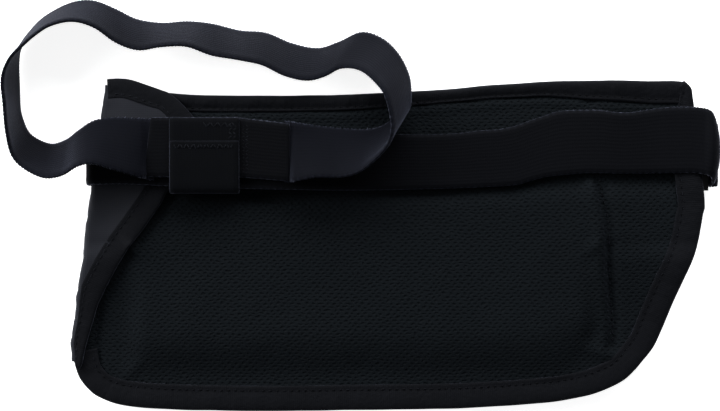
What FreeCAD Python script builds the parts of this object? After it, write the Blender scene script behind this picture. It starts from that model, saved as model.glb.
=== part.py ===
"""Travel money belt lying front face down, built in millimetres.

Frame: X runs along the belt, +Y points to the edge of the pouch that is worn uppermost,
+Z points up from the table, which is at Z = 0.
The pouch is a stack of soft panels.  Every panel is a sheet of even thickness that follows
one of the height functions below, so neighbouring layers never touch.
"""

import FreeCAD, Part
import math
import os

Vector = FreeCAD.Vector

# ---------------------------------------------------------------- driving dimensions
STRAP_WIDTH = 25.0
STRAP_THICK = 1.4
NYLON = 0.7
LINING = 0.5
MESH_THICK = 2.4
LAYER_GAP = 0.2
BINDING_WIDTH = 10.5
TOP_BINDING_WIDTH = 6.3
BINDING_TAPE = 0.4
BINDING_WALL = 0.8
FRONT_POCKET_DEPTH = 4.4
MAIN_POCKET_DEPTH = 4.6
BUCKLE_CLEARANCE = 8.9          # height of the front above the table, over the buckle
EDGE_RISE = 4.2                 # height of the sewn edges above the table, below the belt

BUCKLE_STRAP_LOW = 3.7          # Y of the strap's lower selvage where it enters the buckle
STRAP_UNDER_Z = 3.0             # mid-height of the strap where it runs under the pouch

MAIN_ZIP_Y = 36.2
FRONT_ZIP_Y = -5.8
ZIP_HALF = 4.0                  # each zip tape shows 4 mm beside the coil
ZIP_LEFT = -90.0
ZIP_RIGHT = 88.0
ZIP_FACE_Z = 8.9                # outer face of the front where the zips lie

WING_LIFT = 1.2                 # underside of the folded wing above the back panel
STRAP_LIFT = 1.2                # strap mid-height above the bare back panel
STRAP_LIFT_WING = 5.2           # strap mid-height above the back panel, over the folded wing

OUTLINE = [
    (-107.6, 51.5), (-72.3, 46.9), (-20.0, 46.6), (5.0, 47.4), (23.5, 48.3), (38.6, 49.3), (59.9, 51.2),
    (81.2, 52.5), (102.6, 52.9), (128.2, 52.9), (136.4, 52.4), (139.8, 50.8), (141.4, 48.2), (142.0, 44.5),
    (146.6, 4.0), (146.2, -4.0), (144.2, -15.0), (141.4, -23.6), (137.6, -32.2), (133.8, -40.7),
    (130.3, -49.3), (126.5, -57.9), (123.9, -62.2), (120.5, -66.5), (117.0, -70.7), (111.9, -75.0),
    (102.5, -79.3), (94.5, -81.7), (81.7, -83.8), (60.2, -85.5), (38.8, -86.6), (-4.0, -87.2),
    (-36.0, -87.6), (-68.4, -87.3), (-89.8, -86.4), (-102.7, -84.9), (-111.3, -81.8), (-115.5, -78.8),
    (-119.8, -73.4), (-122.2, -66.5), (-123.4, -58.0), (-120.0, -32.2), (-117.3, -15.0), (-115.0, 2.1),
    (-109.6, 39.5),
]

WING = [
    (-121.6, -66.0), (-121.9, -58.0), (-118.5, -32.2), (-115.8, -15.0), (-113.5, 2.1), (-108.4, 39.5),
    (-106.9, 50.5), (-104.0, 53.4), (-97.6, 53.2), (-91.3, 51.2), (-84.9, 48.9), (-80.0, 46.6),
    (-71.9, 38.5), (-66.0, 24.0), (-67.0, 14.0), (-81.5, 5.3), (-85.2, -1.2), (-92.2, -12.4),
    (-100.1, -21.7), (-105.6, -31.9), (-110.8, -41.2), (-114.0, -50.5), (-116.3, -57.9), (-118.6, -66.0),
]

# Sewn limits of the pockets, inside which the layers part.
POCKETS = [(-104.0, -77.0), (84.9, -77.0), (106.0, -66.0), (106.0, -11.8), (-104.0, -11.8)]

# Flat middle of the front pocket's face (low x, high x, low y, high y), inside its rising hems.
POCKET_FLAT = (-91.0, 83.0, -64.0, -26.0)

# Slack strap ring: foot (x, y, z) of the standing ribbon and head (x, y) of its other selvage.
# The head's height follows from the strap width.
RING = [
    (-29.4, 34.9, 20.4, -29.4, 10.0),
    (-19.0, 33.6, 17.4, -18.3, 11.9),
    (-8.5, 32.6, 16.0, -8.3, 11.9),
    (2.1, 32.0, 15.9, -0.4, 14.1),
    (8.5, 33.2, 15.9, 5.4, 18.2),
    (13.1, 35.8, 15.6, 9.5, 22.1),
    (17.0, 38.3, 15.2, 12.0, 25.8),
    (20.4, 41.0, 14.8, 13.1, 30.4),
    (21.6, 46.0, 14.2, 13.0, 35.3),
    (20.8, 55.1, 12.6, 10.4, 46.0),
    (16.3, 64.8, 8.0, 4.8, 53.4),
    (9.9, 71.6, 3.0, -1.3, 57.6),
    (0.9, 74.7, 0.5, -8.5, 58.2),
    (-8.6, 70.1, 0.5, -15.2, 54.6),
    (-18.1, 67.1, 0.5, -22.8, 52.7),
    (-29.8, 69.5, 0.5, -32.1, 54.7),
    (-51.8, 75.1, 0.5, -51.4, 61.0),
    (-74.6, 79.0, 0.5, -73.2, 67.0),
    (-96.6, 80.0, 0.5, -93.6, 66.6),
    (-115.6, 88.0, 0.5, -112.1, 74.8),
    (-125.3, 87.2, 0.5, -121.1, 77.7),
    (-136.0, 81.6, 0.5, -130.4, 75.9),
    (-143.8, 74.6, 0.5, -139.0, 70.7),
    (-147.4, 61.9, 0.5, -147.7, 60.6),
    (-147.3, 50.0, 0.5, -150.0, 48.5),
    (-146.0, 38.2, 0.5, -149.0, 31.0),
    (-142.4, 30.4, 1.0, -144.8, 19.2),
    (-133.0, 26.2, 6.0, -134.0, 12.2),
    (-125.2, 27.8, 12.0, -124.9, 12.4),
    (-118.7, 31.6, 17.6, -116.9, 16.6),
    (-112.0, 35.6, 19.0, -110.6, 17.6),
    (-103.0, 36.8, 19.8, -101.8, 15.0),
    (-89.8, 36.6, 20.4, -89.8, 11.8),
]


# ---------------------------------------------------------------- height functions
def step(value):
    """Smooth rise from 0 to 1 while value goes from 0 to 1."""
    t = min(1.0, max(0.0, value))
    return t * t * t * (t * (6.0 * t - 15.0) + 10.0)


def fullness(x, y):
    """How open the pockets are: 1 in the middle, 0 along every seam."""
    corner = 0.887 * (y + 66.0) - 0.462 * (x - 106.0)
    across = min((x + 104.0) / 14.0, (106.0 - x) / 14.0)
    along = min((y + 77.0) / 14.0, (-11.8 - y) / 13.0)
    return step(min(across, along, corner / 14.0))


def front_height(x, y):
    """Outer face of the front: pockets rest on the table, the upper part lies over belt and buckle."""
    upper = step((y + 25.8) / 14.0)
    raised = BUCKLE_CLEARANCE * upper
    raised *= 1.0 - 0.30 * step((x - 96.0) / 40.0)
    raised *= 1.0 - 0.20 * step((-92.0 - x) / 20.0)
    return raised + EDGE_RISE * (1.0 - fullness(x, y)) * (1.0 - upper)


def divider_height(x, y):
    return front_height(x, y) + NYLON + LAYER_GAP + FRONT_POCKET_DEPTH * fullness(x, y)


def back_height(x, y):
    return divider_height(x, y) + LINING + LAYER_GAP + MAIN_POCKET_DEPTH * fullness(x, y)


def top_height(x, y):
    return back_height(x, y) + MESH_THICK


# ---------------------------------------------------------------- builders
def surface(height, rise=0.0):
    """Spline face through the height function over the whole pouch."""
    pitch = 4.0
    columns = [-128.0 + pitch * i for i in range(71)]
    rows = [-92.0 + pitch * j for j in range(38)]
    grid = [[Vector(x, y, height(x, y) + rise) for y in rows] for x in columns]
    spline = Part.BSplineSurface()
    spline.interpolate(grid)
    return spline.toShape()


def prism(points):
    """Tall upright block with the given outline."""
    ring = [Vector(x, y, -5.0) for x, y in points]
    face = Part.Face(Part.makePolygon(ring + ring[:1]))
    return face.extrude(Vector(0, 0, 60.0))


def inset(points, distance):
    """Outline moved inwards by the distance."""
    ring = [Vector(x, y, -5.0) for x, y in points]
    face = Part.Face(Part.makePolygon(ring + ring[:1]))
    smaller = face.makeOffset2D(-distance, join=2)
    return smaller.extrude(Vector(0, 0, 60.0))


def block(x0, x1, y0, y1):
    return Part.makeBox(x1 - x0, y1 - y0, 60.0, Vector(x0, y0, -5.0))


def box(x0, x1, y0, y1, z0, z1):
    return Part.makeBox(x1 - x0, y1 - y0, z1 - z0, Vector(x0, y0, z0))


def sheet(height, rise, thick, region):
    """Sheet of even thickness whose underside follows height + rise."""
    return surface(height, rise).extrude(Vector(0, 0, thick)).common(region)


def ribbon(pairs, thick):
    """Strap with a rectangular section, ruled through pairs of selvage points."""
    middles = [(low + high) * 0.5 for low, high in pairs]
    sections = []
    for i, (low, high) in enumerate(pairs):
        travel = middles[min(i + 1, len(pairs) - 1)] - middles[max(i - 1, 0)]
        normal = travel.cross(high - low).normalize() * (thick / 2)
        corners = [low - normal, high - normal, high + normal, low + normal]
        sections.append(Part.makePolygon(corners + corners[:1]))
    return Part.makeLoft(sections, True, True)


def cylinder_y(x, z, radius, y0, y1):
    return Part.makeCylinder(radius, y1 - y0, Vector(x, y0, z), Vector(0, 1, 0))


nodes = {}

# ---------------------------------------------------------------- pouch panels
pouch = inset(OUTLINE, BINDING_WALL)
above_main_zip = block(-130, 150, MAIN_ZIP_Y + ZIP_HALF + 0.2, 60)
between_zips = block(-130, 150, FRONT_ZIP_Y + ZIP_HALF + 0.2, MAIN_ZIP_Y - ZIP_HALF - 0.2)

nodes["back_panel"] = sheet(back_height, 0, MESH_THICK, pouch)
nodes["pocket_divider"] = sheet(divider_height, 0, LINING, pouch)


def front_piece(zone):
    return sheet(front_height, 0, NYLON, pouch).common(zone)


nodes["front_panel_top"] = front_piece(above_main_zip)
nodes["front_panel_middle"] = front_piece(between_zips)

# The face of the front pocket is flat where the pocket is open and turns up to its seams all round:
# a flat middle with a hem on each side.
left, right, lower, upper = POCKET_FLAT
nodes["front_panel_pocket"] = front_piece(block(left, right, lower, upper))
nodes["front_panel_hem_lower"] = front_piece(block(-130, 150, -95, lower - 0.1))
nodes["front_panel_hem_left"] = front_piece(block(-130, left - 0.1, lower, upper))
nodes["front_panel_hem_right"] = front_piece(block(right + 0.1, 150, lower, upper))
nodes["front_panel_hem_upper"] = front_piece(block(-130, 150, upper + 0.1, FRONT_ZIP_Y - ZIP_HALF - 0.2))

# Zip tapes: long strips between the front panels, meeting under the coil.
for name, centre in (("main_zip", MAIN_ZIP_Y), ("front_zip", FRONT_ZIP_Y)):
    lower_strip = block(-130, 150, centre - ZIP_HALF, centre - 0.15)
    upper_strip = block(-130, 150, centre + 0.15, centre + ZIP_HALF)
    nodes[name + "_tape_lower"] = front_piece(lower_strip)
    nodes[name + "_tape_upper"] = front_piece(upper_strip)

# ---------------------------------------------------------------- edge binding
closed_thick = NYLON + LINING + MESH_THICK + 2 * LAYER_GAP
ring_zone = prism(OUTLINE).cut(inset(OUTLINE, BINDING_WIDTH)).cut(block(-130, -104, -69.2, 60))
narrow_top = inset(OUTLINE, TOP_BINDING_WIDTH).common(block(-130, 132, 30, 60))
ring_zone = ring_zone.cut(narrow_top).cut(prism(POCKETS))
folded_edge = block(-130, -90, -69.0, 61)
outside = sheet(front_height, -BINDING_TAPE, closed_thick + 2 * BINDING_TAPE, ring_zone.cut(folded_edge))
inside = sheet(front_height, -0.1, closed_thick + 0.2, inset(OUTLINE, BINDING_WALL - 0.1))
nodes["edge_binding"] = outside.cut(inside)

# ---------------------------------------------------------------- folded left wing
wing_inner = inset(WING, 0.6)
nodes["left_wing_lining"] = sheet(top_height, WING_LIFT, 1.2, wing_inner)
nodes["left_wing_face"] = sheet(top_height, WING_LIFT + 1.3, 0.5, wing_inner)
wing_core = sheet(top_height, WING_LIFT - 0.1, 2.0, wing_inner.common(prism(WING)))
wing_band = sheet(top_height, WING_LIFT - 0.4, 2.7, prism(WING).cut(inset(WING, 7.0)))
free_side = prism([
    (-121.5, -70.0), (-120.4, -58.0), (-117.0, -32.2), (-114.3, -15.0), (-112.0, 2.1), (-106.8, 39.5),
    (-105.3, 60.0), (-50.0, 60.0), (-50.0, -70.0),
])
nodes["wing_binding"] = wing_band.common(free_side).cut(wing_core)


fold_zone = prism(OUTLINE).cut(inset(OUTLINE, BINDING_WALL - 0.1)).common(folded_edge)
fold_zone = fold_zone.common(block(-130, -107.0, -68.8, 51))
fold_height = closed_thick + WING_LIFT + 1.8
nodes["left_wing_fold"] = sheet(front_height, 0, fold_height, fold_zone)

# ---------------------------------------------------------------- strap pulled tight round the pouch
strap_top = [
    (143.0, 14.2), (130.7, 14.2), (113.5, 14.0), (100.9, 14.2), (90.2, 13.8), (79.6, 12.5),
    (66.8, 9.0), (49.8, 7.9), (28.5, 7.1), (8.0, 6.6), (-12.0, 6.2), (-31.0, 6.3),
    (-50.0, 6.6), (-75.0, 8.2), (-98.0, 9.4), (-110.0, 9.3),
]
strap_right_turn = [
    (36.0, 3.7, 3.0), (90.0, 7.7, 3.0), (149.8, 9.9, 3.0), (151.3, 10.9, 4.6),
    (151.5, 12.2, 7.4), (150.4, 13.4, 10.2), (147.6, 14.0, 12.0),
]
strap_left_turn = [
    (-113.8, 9.3, 15.6), (-115.8, 9.2, 13.0), (-116.0, 9.0, 9.5), (-115.6, 8.8, 7.0),
    (-113.2, 8.5, 5.5), (-109.0, 8.2, 5.2), (-92.0, 7.2, 6.5), (-30.0, 3.9, 6.5),
]
insert_strap = [
    (-60.0, BUCKLE_STRAP_LOW, 4.9), (-55.0, BUCKLE_STRAP_LOW, 4.8), (-44.0, BUCKLE_STRAP_LOW, 3.1),
    (-28.0, BUCKLE_STRAP_LOW, 3.0), (-4.0, BUCKLE_STRAP_LOW, 3.0),
]


def strap_station(x, low_y, z):
    return Vector(x, low_y, z), Vector(x, low_y + STRAP_WIDTH, z)


def strap_top_z(x, low_y):
    over_wing = step((-12.0 - x) / 19.0)
    lift = STRAP_LIFT + (STRAP_LIFT_WING - STRAP_LIFT) * over_wing
    edge_lift = 0.7 * step((x - 120.0) / 20.0)
    return top_height(x, low_y + STRAP_WIDTH / 2) + lift + edge_lift


tight = [strap_station(26.0, BUCKLE_STRAP_LOW, STRAP_UNDER_Z)]
tight += [strap_station(*entry) for entry in strap_right_turn]
tight += [strap_station(x, y, strap_top_z(x, y)) for x, y in strap_top]
tight += [strap_station(*entry) for entry in strap_left_turn]
nodes["belt_strap"] = ribbon(tight, STRAP_THICK)

# The length sewn round the bar of the buckle insert, which slides under the rest of the belt.
nodes["insert_strap"] = ribbon([strap_station(*entry) for entry in insert_strap], STRAP_THICK)

# ---------------------------------------------------------------- slack ring, sewn strap end and keeper
ring = []
for foot_x, foot_y, foot_z, head_x, head_y in RING:
    lean = math.hypot(head_x - foot_x, head_y - foot_y)
    rise = math.sqrt(max(0.0, STRAP_WIDTH ** 2 - lean ** 2))
    head_z = foot_z + (rise if rise > 4.0 else 0.0)
    ring.append((Vector(foot_x, foot_y, foot_z), Vector(head_x, head_y, head_z)))
nodes["strap_ring"] = ribbon(ring, STRAP_THICK)

wing_top = top_height(-60.0, 20.0)
end_piece = box(-89.0, -30.2, 11.5, 36.3, wing_top + 6.1, wing_top + 8.9)
nodes["strap_end_piece"] = end_piece
keeper_outer = box(-80.0, -51.1, 5.3, 37.6, wing_top + 3.7, wing_top + 9.8)
keeper_inner = box(-81.0, -50.0, 5.9, 37.0, wing_top + 4.3, wing_top + 9.2)
nodes["strap_keeper"] = keeper_outer.cut(keeper_inner)

# ---------------------------------------------------------------- zips
COIL_WIDTH = 2.6
COIL_HEIGHT = 1.3
SLIDER_LENGTH = 11.0
SLIDER_WIDTH = 7.0
PIN_DROP = 4.7                  # slider pin below the zip face
PULL_LENGTH = 17.0


def zip_hardware(name, centre, slider_x, pull_way):
    """Coil, end stops, slider with its pin, and pull tab; pull_way is +1 or -1 along X."""
    coil_top = ZIP_FACE_Z - 0.1
    coil = box(ZIP_LEFT, ZIP_RIGHT, centre - COIL_WIDTH / 2, centre + COIL_WIDTH / 2,
               coil_top - COIL_HEIGHT, coil_top)
    lower_edges = [e for e in coil.Edges if e.Length > 100 and e.BoundBox.ZMax < coil_top - 0.5]
    nodes[name + "_coil"] = coil.makeFillet(0.6, lower_edges)

    stops = []
    for x0 in (ZIP_LEFT - 2.4, ZIP_RIGHT + 0.4):
        stops.append(box(x0, x0 + 2.0, centre - 1.9, centre + 1.9, coil_top - 1.6, coil_top - 0.1))
    nodes[name + "_stops"] = Part.makeCompound(stops)

    half_x = SLIDER_LENGTH / 2
    half_y = SLIDER_WIDTH / 2
    body = box(slider_x - half_x, slider_x + half_x, centre - half_y, centre + half_y,
               ZIP_FACE_Z - 3.2, ZIP_FACE_Z - 0.3)
    upright = [e for e in body.Edges if abs(e.tangentAt(e.FirstParameter).z) > 0.9]
    body = body.makeFillet(1.6, upright)
    groove = box(slider_x - half_x - 1, slider_x + half_x + 1, centre - 1.6, centre + 1.6,
                 ZIP_FACE_Z - 1.7, ZIP_FACE_Z)
    body = body.cut(groove)
    pin_z = ZIP_FACE_Z - PIN_DROP
    for side in (-1, 1):
        inner = centre + side * 1.3
        outer = centre + side * 2.3
        ear = box(slider_x - 1.3, slider_x + 1.3, min(inner, outer), max(inner, outer),
                  pin_z - 1.0, ZIP_FACE_Z - 3.0)
        body = body.fuse(ear)
    body = body.fuse(cylinder_y(slider_x, pin_z, 0.5, centre - 1.8, centre + 1.8))
    nodes[name + "_slider"] = body.removeSplitter()

    knuckle = cylinder_y(slider_x, pin_z, 1.2, centre - 1.0, centre + 1.0)
    neck_end = slider_x + pull_way * 4.0
    neck = box(min(slider_x, neck_end), max(slider_x, neck_end), centre - 1.0, centre + 1.0,
               pin_z - 0.5, pin_z + 0.5)
    tab_start = slider_x + pull_way * 2.6
    tab_end = slider_x + pull_way * PULL_LENGTH
    tab = box(min(tab_start, tab_end), max(tab_start, tab_end), centre - 2.8, centre + 2.8,
              pin_z - 0.5, pin_z + 0.5)
    corners = [e for e in tab.Edges if abs(e.tangentAt(e.FirstParameter).z) > 0.9]
    tab = tab.makeFillet(1.2, corners)
    pull = knuckle.fuse(neck).fuse(tab).cut(cylinder_y(slider_x, pin_z, 0.6, centre - 2, centre + 2))
    nodes[name + "_pull"] = pull.removeSplitter()


zip_hardware("main_zip", MAIN_ZIP_Y, ZIP_RIGHT - 6.5, -1)
zip_hardware("front_zip", FRONT_ZIP_Y, ZIP_LEFT + 6.5, 1)

# ---------------------------------------------------------------- side-release buckle
SOCKET_X0 = 2.0
SOCKET_X1 = 34.0
BUCKLE_Y0 = 0.0
BUCKLE_Y1 = 32.4
BUCKLE_TOP = 7.8
slot = box(-40.0, 40.0, 3.2, 29.2, 2.0, 4.0)

socket = box(SOCKET_X0, SOCKET_X1, BUCKLE_Y0, BUCKLE_Y1, 0.0, BUCKLE_TOP)
rims = [e for e in socket.Edges if abs(e.tangentAt(e.FirstParameter).z) > 0.9]
socket = socket.makeFillet(3.0, rims)
socket = socket.cut(box(SOCKET_X0 - 1, 24.0, 2.0, 30.4, 1.4, 6.4))
for window_y in (-1.0, 29.0):
    socket = socket.cut(box(11.2, 20.8, window_y, window_y + 4.4, 1.4, 6.4))
socket = socket.cut(slot.common(block(25.0, 40.0, 0, 40)))
nodes["buckle_socket"] = socket

insert = box(-28.0, 0.0, 1.0, 31.4, 0.4, 5.6)
rims = [e for e in insert.Edges if abs(e.tangentAt(e.FirstParameter).z) > 0.9]
insert = insert.makeFillet(2.0, rims)
insert = insert.cut(box(-40.0, -3.0, 3.2, 29.2, 2.0, 4.0))
for window_x in (-23.0, -11.0):
    insert = insert.cut(box(window_x, window_x + 6.0, 4.0, 28.4, -1.0, 8.0))
tongue = box(-1.0, 18.0, 12.6, 19.8, 2.2, 5.4)
nodes["buckle_insert"] = insert.fuse(tongue).removeSplitter()

for side, name in ((-1, "buckle_latch_lower"), (1, "buckle_latch_upper")):
    outline = [(0.5, 9.2), (12.0, 10.4), (12.0, 15.6), (13.4, 15.6), (19.6, 12.6), (19.6, 9.2),
               (16.0, 7.6), (0.5, 6.6)]
    middle = (BUCKLE_Y0 + BUCKLE_Y1) / 2
    corner = [Vector(x, middle + side * y, 2.2) for x, y in outline]
    face = Part.Face(Part.makePolygon(corner + corner[:1]))
    root = Part.makeCylinder(1.6, 3.2, Vector(2.2, middle + side * 7.9, 2.2))
    nodes[name] = face.extrude(Vector(0, 0, 3.2)).fuse(root).removeSplitter()

# ---------------------------------------------------------------- strap length adjuster
ADJUST_X0 = 135.5
ADJUST_X1 = 149.5
ADJUST_Y0 = 6.4
ADJUST_Y1 = 37.4
rail_low = box(ADJUST_X0, ADJUST_X1, ADJUST_Y0, ADJUST_Y0 + 1.6, 0.5, 5.4)
rail_high = box(ADJUST_X0, ADJUST_X1, ADJUST_Y1 - 1.6, ADJUST_Y1, 0.5, 5.4)
bar_left = box(ADJUST_X0, ADJUST_X0 + 2.5, ADJUST_Y0, ADJUST_Y1, 4.0, 5.4)
bar_right = box(ADJUST_X1 - 2.5, ADJUST_X1, ADJUST_Y0, ADJUST_Y1, 4.0, 5.4)
bar_middle = box(ADJUST_X0 + 5.5, ADJUST_X1 - 5.5, ADJUST_Y0, ADJUST_Y1, 0.5, 2.0)
adjuster = rail_low.fuse([rail_high, bar_left, bar_right, bar_middle]).removeSplitter()
nodes["strap_adjuster"] = adjuster

# ---------------------------------------------------------------- export
os.makedirs("parts", exist_ok=True)
for name, shape in nodes.items():
    shape.exportStep("parts/" + name + ".step")
    print(name, shape.isValid(), len(shape.Solids), round(shape.Volume, 1))
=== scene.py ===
"""Looks of the travel money belt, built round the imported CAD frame.

Lengths are written in millimetres and turned into metres when a mesh is made.
X runs along the belt, +Y to the upper edge of the pouch, +Z up from the table.
"""

import math
import random

import bpy
import numpy as np
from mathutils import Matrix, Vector, noise
from mathutils.geometry import delaunay_2d_cdt


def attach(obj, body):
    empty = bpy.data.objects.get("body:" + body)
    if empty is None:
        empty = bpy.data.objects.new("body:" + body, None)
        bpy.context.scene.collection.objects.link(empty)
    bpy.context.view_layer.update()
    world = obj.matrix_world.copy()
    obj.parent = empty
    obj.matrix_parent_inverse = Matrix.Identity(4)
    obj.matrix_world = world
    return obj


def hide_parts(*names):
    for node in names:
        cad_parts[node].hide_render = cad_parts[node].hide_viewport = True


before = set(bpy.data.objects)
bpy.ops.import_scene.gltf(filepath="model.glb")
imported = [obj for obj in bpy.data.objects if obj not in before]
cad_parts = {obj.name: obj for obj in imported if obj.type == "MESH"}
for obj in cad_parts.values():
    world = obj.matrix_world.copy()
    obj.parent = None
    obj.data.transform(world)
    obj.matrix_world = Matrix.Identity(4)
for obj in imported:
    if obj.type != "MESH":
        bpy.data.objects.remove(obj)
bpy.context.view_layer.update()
random.seed(7)

MM = 0.001
NYLON, LINING, MESH_THICK, GAP = 0.7, 0.5, 2.4, 0.2
STRAP_WIDTH = 25.0
STRAP_THICK = 1.4
KEEPER_THICK = 0.75
ZIP_LINES = {"main": 36.2, "front": -5.8}
TAPE_HALF = 4.1

# The pockets: sewn limits, run of the rise to each seam, and heights.
POCKET_LEFT, POCKET_RIGHT, POCKET_LOW, POCKET_HIGH = -104.0, 106.0, -77.0, -11.8
SEAM_RUN = 14.0
BUCKLE_ROOM = 8.9
EDGE_RISE = 4.2
FRONT_DEPTH = 4.4
MAIN_DEPTH = 4.6

OUTLINE = [
    (-107.6, 51.5), (-72.3, 46.9), (-20.0, 46.6), (5.0, 47.4), (23.5, 48.3), (38.6, 49.3), (59.9, 51.2),
    (81.2, 52.5), (102.6, 52.9), (128.2, 52.9), (136.4, 52.4), (139.8, 50.8), (141.4, 48.2), (142.0, 44.5),
    (146.6, 4.0), (146.2, -4.0), (144.2, -15.0), (141.4, -23.6), (137.6, -32.2), (133.8, -40.7),
    (130.3, -49.3), (126.5, -57.9), (123.9, -62.2), (120.5, -66.5), (117.0, -70.7), (111.9, -75.0),
    (102.5, -79.3), (94.5, -81.7), (81.7, -83.8), (60.2, -85.5), (38.8, -86.6), (-4.0, -87.2),
    (-36.0, -87.6), (-68.4, -87.3), (-89.8, -86.4), (-102.7, -84.9), (-111.3, -81.8), (-115.5, -78.8),
    (-119.8, -73.4), (-122.2, -66.5), (-123.4, -58.0), (-120.0, -32.2), (-117.3, -15.0), (-115.0, 2.1),
    (-109.6, 39.5),
]


# ------------------------------------------------------------------ shape of the pouch, in mm
def step(value):
    """Smooth rise from 0 to 1 while value goes from 0 to 1."""
    t = min(1.0, max(0.0, value))
    return t * t * t * (t * (6.0 * t - 15.0) + 10.0)


def corner_distance(x, y):
    """Distance from the slanted seam at the pockets' lower right corner."""
    return 0.887 * (y + 66.0) - 0.462 * (x - POCKET_RIGHT)


def fullness(x, y):
    """How open the pockets are: 1 in the middle, 0 along every seam."""
    across = min((x - POCKET_LEFT) / SEAM_RUN, (POCKET_RIGHT - x) / SEAM_RUN)
    along = min((y - POCKET_LOW) / SEAM_RUN, (POCKET_HIGH - y) / 13)
    return step(min(across, along, corner_distance(x, y) / SEAM_RUN))


def over_buckle(y):
    """0 where the pouch lies on the table, 1 where it lies over belt and buckle."""
    return step((y + 25.8) / 14.0)


def front_z(x, y):
    upper = over_buckle(y)
    raised = BUCKLE_ROOM * upper * (1.0 - 0.30 * step((x - 96.0) / 40.0))
    raised *= 1.0 - 0.20 * step((-92.0 - x) / 20.0)
    return raised + EDGE_RISE * (1.0 - fullness(x, y)) * (1.0 - upper)


def divider_z(x, y):
    return front_z(x, y) + NYLON + GAP + FRONT_DEPTH * fullness(x, y)


def back_z(x, y):
    return divider_z(x, y) + LINING + GAP + MAIN_DEPTH * fullness(x, y)


def top_z(x, y):
    return back_z(x, y) + MESH_THICK


def ease(x, y):
    """Slack of the back panel beside the pockets, which bridges the step of the front panel below."""
    pocket = step((x - POCKET_LEFT) / SEAM_RUN) * step((POCKET_RIGHT - x) / SEAM_RUN)
    slow = step((y + 62.0) / 62.0) - over_buckle(y)
    return 4.7 * (1.0 - pocket) * max(0.0, slow)


def wobble(x, y, scale, seed):
    """Smooth noise in -1..1 with features of about scale mm."""
    return noise.noise(Vector((x / scale, y / scale, seed * 7.31)))


# ------------------------------------------------------------------ small geometry helpers
def smooth_line(points, per_segment=8):
    """Catmull-Rom curve through the points."""
    pts = [np.array(p, float) for p in points]
    pts = [2 * pts[0] - pts[1]] + pts + [2 * pts[-1] - pts[-2]]
    out = []
    for i in range(1, len(pts) - 2):
        p0, p1, p2, p3 = pts[i - 1:i + 3]
        for k in range(per_segment):
            t = k / per_segment
            out.append(0.5 * (2 * p1 + (p2 - p0) * t + (2 * p0 - 5 * p1 + 4 * p2 - p3) * t * t
                              + (3 * p1 - p0 - 3 * p2 + p3) * t ** 3))
    out.append(pts[-2])
    return np.array(out)


def resample(line, pitch, guide=None):
    """Points every pitch mm along the line; guide columns decide the distance."""
    line = np.asarray(line, float)
    base = line if guide is None else np.asarray(guide, float)
    run = np.concatenate([[0], np.cumsum(np.linalg.norm(np.diff(base, axis=0), axis=1))])
    count = max(2, int(round(run[-1] / pitch)) + 1)
    at = np.linspace(0, run[-1], count)
    return np.stack([np.interp(at, run, line[:, k]) for k in range(line.shape[1])], axis=1)


def inside(points, polygon):
    """Which points lie in the polygon."""
    pts = np.asarray(points, float)
    poly = np.asarray(polygon, float)
    hit = np.zeros(len(pts), bool)
    for (x0, y0), (x1, y1) in zip(poly, np.roll(poly, -1, axis=0)):
        crosses = (y0 > pts[:, 1]) != (y1 > pts[:, 1])
        with np.errstate(divide="ignore", invalid="ignore"):
            edge_x = (x1 - x0) * (pts[:, 1] - y0) / (y1 - y0) + x0
        hit ^= crosses & (pts[:, 0] < edge_x)
    return hit


def distance_to(points, line):
    """Distance of each point to a polyline."""
    pts = np.asarray(points, float)
    best = np.full(len(pts), 1e9)
    line = np.asarray(line, float)
    for a, b in zip(line[:-1], line[1:]):
        ab = b - a
        t = np.clip(((pts - a) @ ab) / max(1e-9, ab @ ab), 0, 1)
        best = np.minimum(best, np.linalg.norm(pts - (a + t[:, None] * ab), axis=1))
    return best


def add_object(name, verts, faces, body, material, nodes=(), uvs=None):
    """Mesh object from millimetre points, riding on a body and standing for CAD nodes."""
    mesh = bpy.data.meshes.new(name)
    mesh.from_pydata([tuple(c * MM for c in v) for v in verts], [], [tuple(f) for f in faces])
    mesh.validate()
    if uvs is not None:
        layer = mesh.uv_layers.new(name="UVMap")
        for loop in mesh.loops:
            layer.data[loop.index].uv = uvs[loop.vertex_index]
    mesh.polygons.foreach_set("use_smooth", [True] * len(mesh.polygons))
    mesh.update()
    obj = bpy.data.objects.new(name, mesh)
    bpy.context.scene.collection.objects.link(obj)
    obj.data.materials.append(material)
    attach(obj, body)
    if nodes:
        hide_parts(*nodes)
    return obj


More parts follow.
